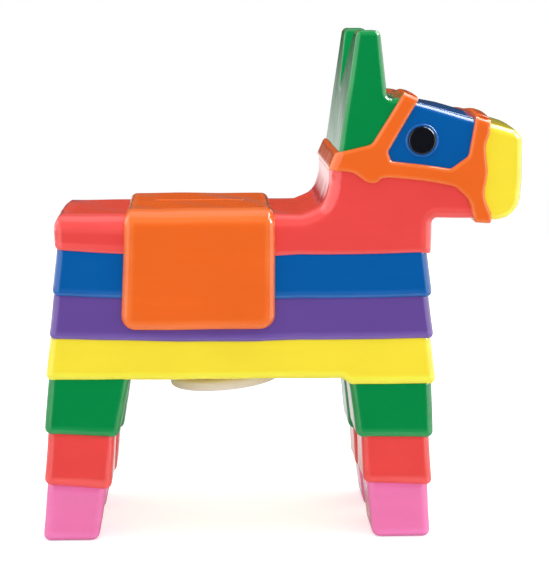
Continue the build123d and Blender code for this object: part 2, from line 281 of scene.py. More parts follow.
# The waves that draw in X, Y and Z: how strong, radians per millimetre along X, Y and Z, and where they start
WAVES = (
    ((0.6, (0, 0.05, 0.10), 0.4), (0.4, (0, -0.11, 0.23), 1.9)),
    ((0.6, (0.085, 0, 0.06), 2.2), (0.4, (0.19, 0, -0.17), 0.3)),
    ((0.6, (0.09, 0.04, 0), 1.1), (0.4, (0.21, 0.12, 0), 3.0)),
)
REACH = (98.0, 40.0, 120.0)  # as far as this from the origin along X, Y and Z, points are drawn in fully
CALM_RADIUS, CALM_FADE = 20, 12  # this near the stopper's hole nothing wanders, and this much further all does
HEAD_CROWN = 2.2  # how far the middle of the brow and nose stands above their sides
# The crown starts this far behind the chest and above the back, and is in full this much further on
CROWN_BEHIND, CROWN_RUN, CROWN_ABOVE, CROWN_RISE = 16, 22, 24, 12
# How far the lower edge of the back was brushed above its line: place along the body, and height
SAG = [(-98, 1.2), (-70, -0.5), (-38, -2.2), (-10, -2.8), (-2, -2.1), (8, -1.3), (30, -1.5), (53, -1.1)]
# The share of it that each join takes, from the belly up: height, and share
SAG_SHARE = [(BELLY_HEIGHT, 0), (84, 0.45), (101.5, 0.7), (120, 1), (133, 0)]


def by_hand(points, sizes, sagging=False):
    """The slow unevenness of a plaster mould and thick glaze, the same for every piece so that joins stay
    closed. Each coordinate is drawn in by up to the unevenness, in slow sine waves of the other two. It dies
    away round the stopper's hole. The top of the head rises towards its middle as a parabola across it, and
    where the bands sag, heights also follow a line drawn by hand along the body."""
    x, y, z = points.T
    calm = np.clip((np.hypot(x - HOLE_X, y) - CALM_RADIUS) / CALM_FADE, 0, 1)
    calm = np.where(z > BELLY_HEIGHT + CALM_RADIUS, 1, calm) * sizes.uneven / 2
    waves = [1 + sum(part * np.sin(points @ rates + start) for part, rates, start in pair) for pair in WAVES]
    moved = np.stack([p - p / r * w * calm for p, r, w in zip((x, y, z), REACH, waves)], 1)
    brow = np.clip((x - CHEST_X + CROWN_BEHIND) / CROWN_RUN, 0, 1)
    brow *= np.clip((z - BACK_TOP - CROWN_ABOVE) / CROWN_RISE, 0, 1)
    moved[:, 2] += HEAD_CROWN * brow * np.clip(1 - (y / HEAD_HALF) ** 2, 0, 1)
    if sagging:
        moved[:, 2] += np.interp(z, *zip(*SAG_SHARE)) * np.interp(x, *zip(*SAG))
    return moved


# --- Glaze and plastic ----------------------------------------------------------------------------


def linear(red, green, blue):
    """A colour as it is seen on a screen, 0 to 255, as the linear colour that a material takes."""
    seen = np.array([red, green, blue]) / 255
    return tuple(np.where(seen <= 0.04045, seen / 12.92, ((seen + 0.055) / 1.055) ** 2.4))


def new_group(name, inputs, outputs):
    """An empty node group with the named sockets: (name, socket type, default)."""
    group = bpy.data.node_groups.new(name, "ShaderNodeTree")
    for label, kind, default in inputs:
        socket = group.interface.new_socket(label, in_out="INPUT", socket_type=kind)
        socket.default_value = default
    for label, kind in outputs:
        group.interface.new_socket(label, in_out="OUTPUT", socket_type=kind)
    return group, group.nodes.new("NodeGroupInput").outputs, group.nodes.new("NodeGroupOutput").inputs


class Wiring:
    """A node tree being wired up. A value is a number or a colour, or another node's output to link."""

    def __init__(self, tree):
        self.nodes, self.links = tree.nodes, tree.links

    def feed(self, inputs, values):
        """Gives inputs their values, by name or by place."""
        for key, value in values.items():
            if isinstance(value, bpy.types.NodeSocket):
                self.links.new(value, inputs[key])
            else:
                inputs[key].default_value = value

    def add(self, kind, values=None, **settings):
        """Adds a node with its settings and values, and gives its outputs."""
        node = self.nodes.new(f"ShaderNode{kind}")
        for key, value in settings.items():
            setattr(node, key, value)
        self.feed(node.inputs, values or {})
        return node.outputs

    def math(self, kind, *values):
        """One step of arithmetic on two or three values."""
        return self.add("Math", dict(enumerate(values)), operation=kind)[0]

    def mix(self, share, a, b):
        """A colour this share of the way from one to another."""
        return self.add("Mix", {"Factor": share, "A": a, "B": b}, data_type="RGBA")["Result"]

    def noise(self, where, scale, detail, rough=0.5, stretch=None):
        """Noise over the object's own coordinates, in cycles per metre, stretched along an axis if asked."""
        if stretch:
            where = self.add("Mapping", {"Scale": stretch, "Vector": where})["Vector"]
        values = {"Scale": scale, "Detail": detail, "Roughness": rough, "Vector": where}
        return self.add("TexNoise", values)["Fac"]


def brushed_glaze():
    """Glaze laid on by brush: broad soft patches and long strokes in the colour, a lighter colour where it
    runs thin over an edge and where it is a painted highlight for the light that lips, corners and
    roundings catch, a slow ripple, and a few fine pits."""
    found = bpy.data.node_groups.get("brushed_glaze")
    if found:
        return found
    inputs = [
        ("Color", "NodeSocketColor", (0.8, 0.1, 0.1, 1)),
        # The lighter colour: thin glaze over edges, and painted highlight on lips, corners and roundings
        ("Thin And Highlight Color", "NodeSocketColor", (1, 0.5, 0.4, 1)),
        ("Thin And Highlight", "NodeSocketFloat", 0.5),
        ("Patches", "NodeSocketFloat", 0.1),
        ("Smoothness", "NodeSocketFloat", 0.08),
    ]
    outputs = [("Color", "NodeSocketColor"), ("Roughness", "NodeSocketFloat"), ("Height", "NodeSocketFloat")]
    group, given, made = new_group("brushed_glaze", inputs, outputs)
    web = Wiring(group)
    where = web.add("TexCoord")["Object"]
    # How far each point takes the lighter colour, as the pieces set it: thin glaze, and painted highlight
    edge = web.add("Attribute", attribute_name="thin_and_highlight")["Fac"]
    patches = web.noise(where, 38, 3)
    strokes = web.noise(where, 60, 4, 0.6, (0.35, 1, 2.2))
    ripple = web.noise(where, 55, 1, 0.4)
    pits = web.noise(where, 900, 2, 0.6)

    uneven = web.math("ADD", patches, web.math("MULTIPLY", strokes, 0.7))
    uneven = web.math("SUBTRACT", uneven, 0.85)
    shade = web.math("MULTIPLY_ADD", uneven, given["Patches"], 1.0)
    deep = web.add("VectorMath", {0: given["Color"], "Scale": shade}, operation="SCALE")["Vector"]
    wander = web.math("MULTIPLY_ADD", strokes, 1.2, -0.1)
    thin_and_highlight = web.math("MULTIPLY", web.math("MULTIPLY", edge, given["Thin And Highlight"]), wander)
    rough = web.math("MULTIPLY_ADD", patches, 0.05, given["Smoothness"])
    web.feed(made, {
        "Color": web.mix(thin_and_highlight, deep, given["Thin And Highlight Color"]),
        "Roughness": web.math("SUBTRACT", rough, 0.02),
        "Height": web.math("MULTIPLY_ADD", pits, 0.003, ripple),
    })
    return group


def new_material(name):
    """A new material, its wiring, and the inputs of its shader."""
    material = bpy.data.materials.new(name)
    material.use_nodes = True
    tree = material.node_tree
    return material, Wiring(tree), tree.nodes["Principled BSDF"].inputs


THIN_AND_HIGHLIGHT, PATCHES, SMOOTHNESS = 1.1, 0.12, 0.07  # how strong the lighter colour of thin glaze and painted highlight and the patches are, its gloss
RIPPLE = 0.35  # height of the glaze's ripple, in millimetres


def finish_material(name):
    """The glaze of this name, in the colour that the panel gives and a lighter one where it is thin and where
    a highlight is painted on it. Its gloss comes from the Principled shader, its pattern from brushed_glaze."""
    material = bpy.data.materials.get(f"brushed_{name}")
    if material:
        return material
    material, web, shader = new_material(f"brushed_{name}")
    colour = np.array(getattr(bpy.context.scene.bank_glazes, name))
    # the lighter colour, for thin glaze and for painted highlight
    thin_and_highlight_colour = np.minimum(colour * 1.3 + 0.03, 1.0)
    values = {"Color": (*colour, 1), "Thin And Highlight Color": (*thin_and_highlight_colour, 1)}
    values |= {"Thin And Highlight": THIN_AND_HIGHLIGHT, "Patches": PATCHES, "Smoothness": SMOOTHNESS}
    brushed = web.add("Group", values, node_tree=brushed_glaze())
    bump = web.add("Bump", {"Strength": 1.0, "Distance": RIPPLE * MM, "Height": brushed["Height"]})
    values = {"Base Color": brushed["Color"], "Roughness": brushed["Roughness"], "Normal": bump["Normal"]}
    web.feed(shader, values | {"IOR": 1.5})
    material.diffuse_color = (*colour, 1)
    return material


def stopper_plastic():
    """Soft white plastic: a fine matt grain over a slight unevenness of colour."""
    material, web, shader = new_material("stopper_plastic")
    colour = np.array(bpy.context.scene.bank_glazes.stopper)
    where = web.add("TexCoord")["Object"]
    grain, cloud = web.noise(where, 1800, 2), web.noise(where, 70, 2)
    web.feed(shader, {
        "Base Color": web.mix(cloud, (*(colour * 0.93), 1), (*np.minimum(colour * 1.05, 1), 1)),
        "Roughness": web.math("MULTIPLY_ADD", grain, 0.12, 0.34),
        "Normal": web.add("Bump", {"Distance": 0.02 * MM, "Height": grain})["Normal"],
    })
    return material


# --- Putting a piece in the scene -----------------------------------------------------------------


def put(name, points, faces, thin_and_highlight, colour, nodes, body="bank"):
    """Makes a mesh object of a closed surface, in metres, with the lighter colour of its glaze at each point,
    thin glaze and painted highlight; parents it to what it rides on, gives it its finish and hides the
    solids that it stands for."""
    mesh = bpy.data.meshes.new(name)
    faces = faces.tolist() if isinstance(faces, np.ndarray) else faces
    mesh.from_pydata((np.asarray(points) * MM).tolist(), [], faces)
    mesh.shade_smooth()
    if thin_and_highlight is not None:
        attribute = mesh.attributes.new("thin_and_highlight", "FLOAT", "POINT")
        attribute.data.foreach_set("value", np.asarray(thin_and_highlight, np.float32))
    mesh.validate()
    piece = bpy.data.objects.new(name, mesh)
    bpy.context.scene.collection.objects.link(piece)
    mesh.materials.append(stopper_plastic() if colour == "stopper" else finish_material(colour))
    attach(piece, body)
    if nodes:
        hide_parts(*nodes)


def put_loops(name, loops, thin_and_highlight, colour, sizes, poles=None, sagging=False):
    """Puts a closed stack of loops in the scene, with the lighter colour of thin glaze and painted highlight at
    each of their points.
    """
    points, faces = tube(loops, poles)
    thin_and_highlight = np.pad(thin_and_highlight.ravel(), (0, len(points) - thin_and_highlight.size))
    put(name, by_hand(points, sizes, sagging), faces, thin_and_highlight, colour, [name])


def edge_thin_and_highlight(depth, width):
    """The lighter colour towards an edge, of thin glaze and painted highlight: 1 on it and beside it, then falling
    smoothly to 0 at the width.
    """
    return smooth(3 * (1 - depth / width))


# --- Body bands and leg sections ------------------------------------------------------------------

RUMP_FLARE, CHEST_FLARE, SIDE_FLARE = 2.2, 2.4, 0.9  # how far a band's lower edge stands out past its top
TUCK = 1.4  # how far a band or a leg section runs on under what stands above it
HOLE_DIAMETER = 37.0
RAMP_START, RAMP_LENGTH = 1.4, 1.6  # of the belly's ramp before the front legs, as times its drop
SLOT_X, SLOT_HALF = -32.5, (18.0, 2.5)  # the coin slot's middle, and half its length and its width
BACK_END = -8.0  # the back meets the chest under the saddle blanket
RUMP_ROUND = 0.7  # the rump's top edge rounds off this much narrower than it is deep
RUMP_SWELL, RUMP_REACH = 1.6, 25  # how far the rump's top edge swells out, and how far along it does
BACK_SPREAD = 1.7  # the top edges along the body round off this much wider than they are deep

# Points of a loop along a side, across it and round a corner
BAND_COUNTS, BACK_COUNTS, LEG_COUNTS = (110, 50, 8), (70, 50, 8), (30, 30, 9)
ARC = np.linspace(0, QUARTER, 8)  # along the quarter circle of a lip
BURIED = 9.0  # a depth that neither thin glaze nor painted highlight reaches


def rectangle(low, high, rear=0, front=0, side=0):
    """A rectangle inside a solid's box, as its ends along the body and across it."""
    return (low[0] + rear, high[0] - front, low[1] + side, high[1] - side)


def sleeve(top, bottom, z_top, z_bottom, lip, corner, wall, counts):
    """Stations of a hollow band, as a closed profile carried round rounded rectangles. The profile starts
    under the lip, turns out round it as a quarter circle, leans in up the wall from the bottom's rectangle
    to the top's, tucks in under what stands above, and comes down inside at the wall's thickness.
    Gives the loops and how far each takes the lighter colour: thin glaze and painted highlight along the lip
    and on the upright corners."""
    rise = np.linspace(0, 1, 12)[1:] * (z_top - z_bottom - lip)
    inset = np.concatenate([lip * (1 - np.sin(ARC)), 0 * rise, [0.9, wall, wall]])
    z = np.concatenate([z_bottom + lip * (1 - np.cos(ARC)), z_bottom + lip + rise])
    z = np.concatenate([z, [z_top + TUCK, z_top + TUCK, z_bottom]])
    lean = np.clip((z - z_bottom) / (z_top - z_bottom), 0, 1)
    sides = [b + (t - b) * lean + sign * inset for t, b, sign in zip(top, bottom, (1, -1, 1, -1))]
    loops = box_loop(*sides, np.maximum(corner - inset, 0.8), z, counts)
    thin_and_highlight = edge_thin_and_highlight(np.concatenate([0 * ARC, rise, [BURIED] * 3]), 0.8)[:, None]
    # The upright corners take the lighter colour too, partly thin glaze and partly a painted highlight for the
    # light strips that they catch
    return loops, np.maximum(thin_and_highlight, 0.55 * corner_thin_and_highlight(counts))


def corner_thin_and_highlight(counts):
    """1 in the middle of each upright corner of a loop, 0 along its sides: where the corners take the lighter
    colour, partly thin glaze and partly painted highlight.
    """
    along, across, turning = counts
    arc = np.sin(np.linspace(0, math.pi, turning))
    return np.concatenate([np.zeros(across), arc, np.zeros(along), arc] * 2)


def level_loops(outer, inner, shares, height):
    """Level loops, these shares of the way from one flat loop to another."""
    shares = np.array(shares)[:, None, None]
    flat = outer * (1 - shares) + inner * shares
    return np.concatenate([flat, np.full((*flat.shape[:2], 1), height)], 2)


class Sizes:
    """The panel's sizes, in millimetres."""

    def __init__(self):
        source = bpy.context.scene.bank_sizes
        for key in BankSizes.__annotations__:
            setattr(self, key, getattr(source, key) / MM)


def band_sleeve(name, bottom, sizes):
    """The sleeve of a body band down to this height. It leans in at the rump, the chest and the sides."""
    low, high = span(name)
    leaning = rectangle(low, high, RUMP_FLARE, CHEST_FLARE, SIDE_FLARE)
    wall = sizes.wall + SIDE_FLARE
    args = (high[2], bottom, sizes.band_lip, sizes.corner, wall, BAND_COUNTS)
    return sleeve(leaning, rectangle(low, high), *args)


def make_band(name, colour, sizes):
    """A band round the body: a sleeve as tall as its solid."""
    loops, thin_and_highlight = band_sleeve(name, span(name)[0][2], sizes)
    put_loops(name, loops, thin_and_highlight, colour, sizes, sagging=True)


def make_belly_band(sizes):
    """The lowest band. Its outside is a band's; its floor is a sheet that narrows from the lip's rectangle to
    the stopper's round hole, turns up through it and widens again to the chamber's walls. Over the front
    legs the lip and the floor hang lower, down a short ramp."""
    low, high = span("belly_band")
    outer, thin_and_highlight = band_sleeve("belly_band", BELLY_HEIGHT, sizes)
    outer, thin_and_highlight = outer[:-1], thin_and_highlight[:-1]
    lip, chamber = outer[0, :, :2], outer[-1, :, :2]
    hole = HOLE_DIAMETER / 2
    angle = np.arctan2(lip[:, 1], lip[:, 0] - HOLE_X)
    ring = hole * np.stack([np.cos(angle), np.sin(angle)], 1)
    ring, softened, wide = ((HOLE_X, 0) + ring * widening for widening in (1, 1.012, 1.03))
    bore = [level_loops(ring, ring, [0], BELLY_HEIGHT + rise) for rise in (sizes.wall, 0.6, 0.15)]
    bore += [level_loops(softened, softened, [0], BELLY_HEIGHT)]
    floor_up = level_loops(chamber, wide, np.linspace(0, 1, 8), BELLY_HEIGHT + sizes.wall)
    floor_down = level_loops(lip, wide, np.linspace(1, 0, 14)[:-1], BELLY_HEIGHT)
    loops = np.concatenate([outer, floor_up, *bore, floor_down])
    belly_thin_and_highlight = np.zeros(loops.shape[:2])
    belly_thin_and_highlight[: len(thin_and_highlight)] = thin_and_highlight
    drop_from, drop = span("near_front_thigh")[0][0], BELLY_HEIGHT - low[2]
    ramp = smooth((loops[..., 0] - drop_from + drop * RAMP_START) / (drop * RAMP_LENGTH))
    share = np.clip((high[2] - loops[..., 2]) / (high[2] - BELLY_HEIGHT), 0, 1)
    inside = np.hypot(loops[..., 0] - HOLE_X, loops[..., 1]) < hole * 1.5
    loops[..., 2] -= drop * ramp * share * ~inside
    put_loops("belly_band", loops, belly_thin_and_highlight, "yellow", sizes, sagging=True)


def make_back(sizes):
    """The back and rump: a band whose wall rounds over into a crowned top. The top narrows to the coin slot,
    turns down through it and widens again under the ceiling to the chamber's walls."""
    low, high = span("back")
    foot, crest = span("blue_band")[1][2], high[2]
    lip, deep, wall = sizes.band_lip * 0.8, sizes.back_round, sizes.wall
    over = np.linspace(0, QUARTER, 12)
    wall_z = np.linspace(foot + lip, crest - deep, 7)[1:-1]
    inset, wide = (
        np.concatenate([lip * (1 - np.sin(ARC)), 0 * wall_z, radius * (1 - np.cos(over))])
        for radius in (deep, deep * BACK_SPREAD)
    )
    z = np.concatenate([foot + lip * (1 - np.cos(ARC)), wall_z, crest - deep + deep * np.sin(over)])
    rear = inset * np.where(z > crest - deep, RUMP_ROUND, 1)
    sides = (low[0] + rear, BACK_END - inset, low[1] + wide, high[1] - wide)
    outer = box_loop(*sides, np.maximum(sizes.corner + 0.6 - inset, 0.6), z, BACK_COUNTS)
    x, y = SLOT_HALF
    slot = box_loop(SLOT_X - x, SLOT_X + x, -y, y, 0.6, 0, BACK_COUNTS)[0, :, :2]
    shares = np.linspace(0, 1, 10)[1:]
    top = level_loops(outer[-1, :, :2], slot, shares, crest)
    ceiling = level_loops(outer[-1, :, :2], slot, shares[::-1], crest - wall)
    sides = (low[0] + wall, BACK_END - wall, low[1] + wall, high[1] - wall)
    inner = box_loop(*sides, 0.8, (crest - wall, foot), BACK_COUNTS)
    loops = np.concatenate([outer, top, ceiling, inner])
    swell = np.clip((loops[..., 2] - foot) / (crest - foot), 0, 1)
    swell *= np.clip(1 - (loops[..., 0] - low[0]) / RUMP_REACH, 0, 1)
    loops[..., 0] -= RUMP_SWELL * swell * np.clip(1 - (loops[..., 1] / high[1]) ** 2, 0, 1)
    # Nearly the whole top rounding takes the lighter colour: a painted highlight for the pale band along the
    # back's top edges
    above = np.maximum(crest - z[-len(over) :] - deep * 0.75, 0)
    hidden = np.full(len(top) + len(ceiling) + len(inner), BURIED)
    depth = np.concatenate([0 * ARC, wall_z - foot - lip, above, hidden])
    thin_and_highlight = np.maximum(edge_thin_and_highlight(depth, 2.0)[:, None], 0.5 * corner_thin_and_highlight(BACK_COUNTS))
    put_loops("back", loops, thin_and_highlight, "red", sizes, sagging=True)


# A leg section's ends inside its box: rear and front at its top, then at its bottom, in millimetres
LEAN = {
    ("hind", "thigh"): (1.95, 0, 0, 4.75),
    ("hind", "shin"): (1.95, 0, 0, 1.75),
    ("hind", "hoof"): (1.95, 0, 0, 3.35),
    ("front", "thigh"): (0, 1.2, 3.0, 0.3),
    ("front", "shin"): (0, 1.2, 1.0, -0.2),
    ("front", "hoof"): (0, 0.9, 2.6, -0.2),
}
# How the joins of a leg were brushed on: lift and slant of the hoof's upper edge, then of the shin's
JOINS = {"hind": ((0.0, 0.7), (-0.088, -0.055)), "front": ((0.0, -1.2), (-0.048, -0.018))}
LEG_COLOURS = {"thigh": "green", "shin": "red", "hoof": "pink"}


def make_leg_section(side, end, section, sizes):
    """A leg section: a hollow sleeve that leans out to its proud lower edge. A hoof is closed below by a
    flat sole and inside by its floor, each a stack of shrinking loops that ends in a point."""
    node = f"{side}_{end}_{section}"
    low, high = span(node)
    rear_top, front_top, rear_bottom, front_bottom = LEAN[end, section]
    if (side, end) == ("near", "front"):
        rear_top, rear_bottom = rear_top - 0.6, rear_bottom - 0.8  # pressed a little wider than its twin
    top = rectangle(low, high, rear_top, front_top, SIDE_FLARE)
    bottom = rectangle(low, high, rear_bottom, front_bottom)
    loops, thin_and_highlight = sleeve(top, bottom, high[2], low[2], sizes.leg_lip, sizes.corner, sizes.wall, LEG_COUNTS)
    joins = [0, span(f"{side}_{end}_hoof")[1][2], span(f"{side}_{end}_shin")[1][2], BELLY_HEIGHT]
    lift, slant = (np.interp(loops[..., 2], joins, [0, *values, 0]) for values in JOINS[end])
    loops[..., 2] += lift + slant * (loops[..., 0] - (low[0] + high[0]) / 2)
    poles = None
    if section == "hoof":
        loops[-1, :, 2] = sizes.wall + 0.5
        sole, floor = loops[0], loops[-1]
        poles = (sole.mean(0), floor.mean(0))
        share = np.array([0.05, 0.35, 0.7])[:, None, None]
        below = poles[0] + (sole - poles[0]) * share
        inside = poles[1] + (floor - poles[1]) * share[::-1]
        loops = np.concatenate([below, loops, inside])
        thin_and_highlight = np.pad(thin_and_highlight, ((3, 3), (0, 0)))
    put_loops(node, loops, thin_and_highlight, LEG_COLOURS[section], sizes, poles)


# --- Head, as slabs -------------------------------------------------------------------------------


def slab(name, colour, curves, columns, edges, sizes, rows=12, half=HEAD_HALF, shape=None, sagging=False):
    """A block seen from the side as the sheet between two curves, with a face on each side of the donkey.
    A point of the sheet goes straight from the first curve to the second, and its face stands half the
    width out, less a quarter round near each visible edge. Edges are (line, radius, width of the lighter
    glaze: thin glaze and painted highlight), and a fourth number stretches the rounding across."""
    first, second = curves
    across = EASES["both"](np.linspace(0, 1, columns))
    sheet = first[:, None] + (second - first)[:, None] * across[None, :, None]
    flat = sheet.reshape(-1, 2)
    drops, thins_and_highlights = [], []
    for line, radius, width, *stretch in edges:
        depth = distance(flat, np.array(line))
        drops.append(quarter_round(depth, radius) * (stretch[0] if stretch else 1))
        thins_and_highlights.append(edge_thin_and_highlight(depth, width))
    near = np.stack([flat[:, 0], np.max(drops, 0) - half, flat[:, 1]], 1).reshape(*sheet.shape[:2], 3)
    points, faces = two_sheets(near, near * (1, -1, 1), rows)
    if np.cross(np.diff(sheet, axis=1)[:-1], np.diff(sheet, axis=0)[:, :-1]).sum() < 0:
        faces = faces[:, ::-1]
    thin_and_highlight = np.tile(np.max(thins_and_highlights, 0), 2)
    thin_and_highlight = np.pad(thin_and_highlight, (0, len(points) - len(thin_and_highlight)))
    if shape:
        points = shape(points)
    put(name, by_hand(points, sizes, sagging), faces, thin_and_highlight, colour, [name])


JAW = -1.5  # height of the jaw's underside over the back
EAR_TIP, SHELF = 74.0, 46.9  # heights of the ears' tips and of the shelf before them


def make_neck(sizes):
    """Chest, neck and lower head in one: between the line of belly lip, chest and jaw, and the line of
    withers, nape and cheek. Its end at the back and its cheek lie under the blanket and the halter."""
    foot, jaw = span("blue_band")[1][2], BACK_TOP + JAW
    under = rounded([(-10, foot), (CHEST_X, foot), (CHEST_X, jaw), head(20.6, JAW)], [1.4, 2.4])
    withers = head(-52.4, 0)
    nape = flowing([withers, *heads((-44.9, 3.6), (-41.8, 11.0), (-41.4, 18.4))], 12)
    cheek = heads((-39.6, 21.7), (-32.4, 21.2), (-25.4, 17.4), (-18.4, 18.7), (8.0, 15.2))
    cheek += heads((15.1, 11.4), (18.6, 5.4), (20.6, 2.4))
    above = np.concatenate([[(-10, BACK_TOP)], nape, cheek])
    curves = paired(under, above, [
        ((-10, foot), (-10, BACK_TOP), 10, "even"),
        ((9, foot), withers, 14, "even"),
        ((24, foot), head(-41.4, 18.4), 8, "even"),
        ((32, foot), head(-39.6, 21.7), 20, "end"),
        ((CHEST_X, foot + 1.4), head(-15, 18.4), 12, "both"),
        ((CHEST_X, jaw - 2.4), head(-4, 16.9), 10, "even"),
        ((CHEST_X + 2.4, jaw), head(4.6, 15.7), 16, "even"),
        (head(16.6, JAW), head(16.6, 9.0), 5, "even"),
        (head(20.6, JAW), head(20.6, 2.4)),
    ])
    # Lighter bands of thin glaze and painted highlight along the edges, widest along the nape and down the chest
    # front, where they are a painted highlight for the glare on these edges
    edges = [
        ([(-40, BACK_TOP), *nape], sizes.back_round, 4.6, 1.3),
        ([(-40, foot), (CHEST_X, foot)], sizes.band_lip * 0.8, 2.4),
        (rounded([(CHEST_X, foot - 9), (CHEST_X, jaw), head(40, JAW)], [2.4]), sizes.corner + 0.2, 5.2),
    ]
    slab("neck", "red", curves, 60, edges, sizes, sagging=True)


EAR_GAP = [(-60, EAR_TIP), (-22.6, EAR_TIP), (-1.4, 51.0), (0, 49.4), (1.4, 51.0), (22.6, EAR_TIP), (60, EAR_TIP)]
# Lines up the rear and up the front of the ears: a place, its height, and the place at the tip
EAR_LINES = ((-35.9, 42.9, -31.1), (-18.7, SHELF, -21.7))


def between_ears(points):
    """Lowers the ears to the gap between them: above the crown, heights are squeezed so that the tips come
    down to the gap's line at their place across, and follow the ears' slope as they do."""
    floor = BACK_TOP + 48.2
    gap = rounded(EAR_GAP, [6.0, 3, 1.2, 3, 6.0])
    x, y, z = points.T
    gap = gap[np.argsort(gap[:, 0], kind="stable")]
    squeeze = (np.interp(y, *gap.T) + BACK_TOP - floor) / (BACK_TOP + EAR_TIP - floor)
    lower = np.where(z > floor, floor + (z - floor) * squeeze, z)
    slopes = [(tip - place) / (EAR_TIP - height) for place, height, tip in EAR_LINES]
    rear, front = (
        CHEST_X + line[2] + (z - BACK_TOP - EAR_TIP) * slope for line, slope in zip(EAR_LINES, slopes)
    )
    share = np.clip((x - rear) / (front - rear), 0, 1)
    x = x + (lower - z) * (slopes[0] + (slopes[1] - slopes[0]) * share)
    return np.stack([x, y, lower], 1)


def make_crown(sizes):
    """Crown and both ears: between the line up the back of the ears and the line up the brow, along the
    shelf before the ears and up their fronts. The gap between the ears is pressed in afterwards."""
    rear = rounded(heads((-39.0, 20.9), (-38.0, 24.9), (-31.1, EAR_TIP), (-26.8, EAR_TIP)), [4, 2.4])
    brow = heads((-27.5, 22.5), (-22.5, 26.8), (-9.9, SHELF), (-18.7, SHELF), (-21.7, EAR_TIP), (-26.2, EAR_TIP))
    curves = paired(rear, rounded(brow, [3, 0.6, 2.6, 2.4]), [
        (head(-39.0, 20.9), head(-27.5, 22.5), 14, "even"),
        (head(-37.4, 29.0), head(-10.2, 46.5), 10, "even"),
        (head(-35.9, 40.0), head(-16.4, SHELF), 8, "even"),
        (head(-35.2, 45.0), head(-19.0, 49.4), 30, "end"),
        (head(-31.4, 71.6), head(-21.5, 71.6), 8, "even"),
        (head(-28.8, EAR_TIP), head(-24.2, EAR_TIP), 4, "even"),
        (head(-26.8, EAR_TIP), head(-26.2, EAR_TIP)),
    ])
    ears = rounded(heads((-38.6, 20.9), (-31.1, EAR_TIP), (-21.7, EAR_TIP), (-19.2, 51.0)), [2.4, 2.4])
    shelf = rounded(heads((-19.2, 51.0), (-18.8, SHELF), (0, SHELF)), [2.6])
    edges = [(ears, sizes.head_round, 2.2), (shelf, sizes.head_round, 2.0)]
    slab("crown_with_ears", "green", curves, 40, edges, sizes, rows=90, shape=between_ears)


# Parts of the halter's outer line: along the cheek, and up before the muzzle
CHEEK = [(-37.5, 18.0), (-32.5, 17.3), (-29.0, 15.0), (-26.0, 13.2), (-22.4, 13.4), (-18.9, 15.2), (-5.0, 13.9)]
CHEEK += [(7.8, 11.7), (11.2, 9.6), (13.3, 7.8), (15.0, 5.2), (15.9, 2.2)]
LIP = [(23.9, 0.4), (22.0, 4.6), (21.0, 8.7), (21.6, 13.0), (22.2, 17.4), (21.6, 22.6), (21.2, 27.9), (22.6, 32.6)]


def strap_tops(points):
    """Lowers the straps over the brow and the nose towards the head's top line once they are across it: they
    were laid on thick from the near side and pressed flatter beyond."""
    x, y, z = points.T
    line = BACK_TOP + np.interp(x - CHEST_X, [-9.9, 20.0], [47.2, 37.6])
    flatter = 0.8 * smooth((y + 20) / 24)
    return np.stack([x, y, np.where(z > line, z - (z - line) * flatter, z)], 1)


def make_halter(sizes):
    """The halter: one strap from the brow, down past the face, along the cheek and up over the nose, between
    its inner line round the face and its outer line. It stands proud and goes round the head."""
    inside = heads((-7.9, 48.1), (-5.9, 46.9), (-18.2, 25.8), (-16.9, 22.0), (7.2, 18.8))
    inside += heads((14.2, 24.0), (17.1, 40.4), (19.2, 40.2))
    inner = rounded(inside, [1.2, 1.6, 1.4, 2.2, 2.6, 1.2])
    brow = heads((-9.6, 48.9), (-12.0, 49.6), (-24.9, 28.6), (-39.3, 25.3), (-42.3, 18.4), (-41.0, 18.4))
    jaw = heads((15.9, 2.2), (17.0, -3.0), (23.8, -3.5), (23.9, 0.4))
    nose = heads((22.6, 32.6), (23.2, 38.6), (21.2, 39.6))
    outer = np.concatenate([
        rounded(brow, [1.2, 4, 1.6, 0.6]), flowing(heads(*CHEEK)),
        rounded(jaw, [1.3, 1.3]), flowing(heads(*LIP)), rounded(nose, [1.2]),
    ])
    curves = paired(inner, outer, [
        (head(-7.9, 48.1), head(-9.6, 48.9), 5, "even"),
        (head(-6.5, 45.8), head(-12.6, 48.6), 26, "start"),
        (head(-18.4, 26.2), head(-24.9, 28.6), 10, "even"),
        (head(-18.1, 24.4), head(-38.8, 25.3), 8, "even"),
        (head(-17.5, 23.0), head(-41.9, 18.6), 10, "even"),
        (head(-16.9, 22.2), head(-26.0, 13.2), 36, "even"),
        (head(7.2, 19.0), head(7.8, 11.7), 8, "even"),
        (head(8.4, 19.6), head(13.3, 7.8), 6, "even"),
        (head(9.4, 20.3), head(15.9, 2.2), 6, "even"),
        (head(10.4, 21.0), head(17.6, -3.0), 8, "both"),
        (head(11.6, 21.9), head(23.5, -3.4), 10, "start"),
        (head(14.0, 24.2), head(22.2, 17.4), 26, "end"),
        (head(17.0, 39.2), head(23.2, 37.4), 5, "even"),
        (head(19.2, 40.2), head(21.2, 39.6)),
    ])
    wide = 1.7  # of the lighter glaze beside an edge: thin glaze and painted highlight
    edges = [(line, sizes.halter_proud, wide) for line in (inner, outer)]
    ends = [((-12.0, 49.6), (-5.9, 46.9), 1.0), ((17.1, 40.4), (23.2, 38.4), 1.0)]
    ends += [((-39.3, 25.3), (-42.3, 18.4), 2.4), ((17.0, -3.0), (23.8, -3.5), 0)]
    edges += [(heads(a, b), sizes.head_round + rounder, wide) for a, b, rounder in ends]
    half = HEAD_HALF + sizes.halter_proud
    slab("halter", "orange", curves, 52, edges, sizes, 28, half, strap_tops)


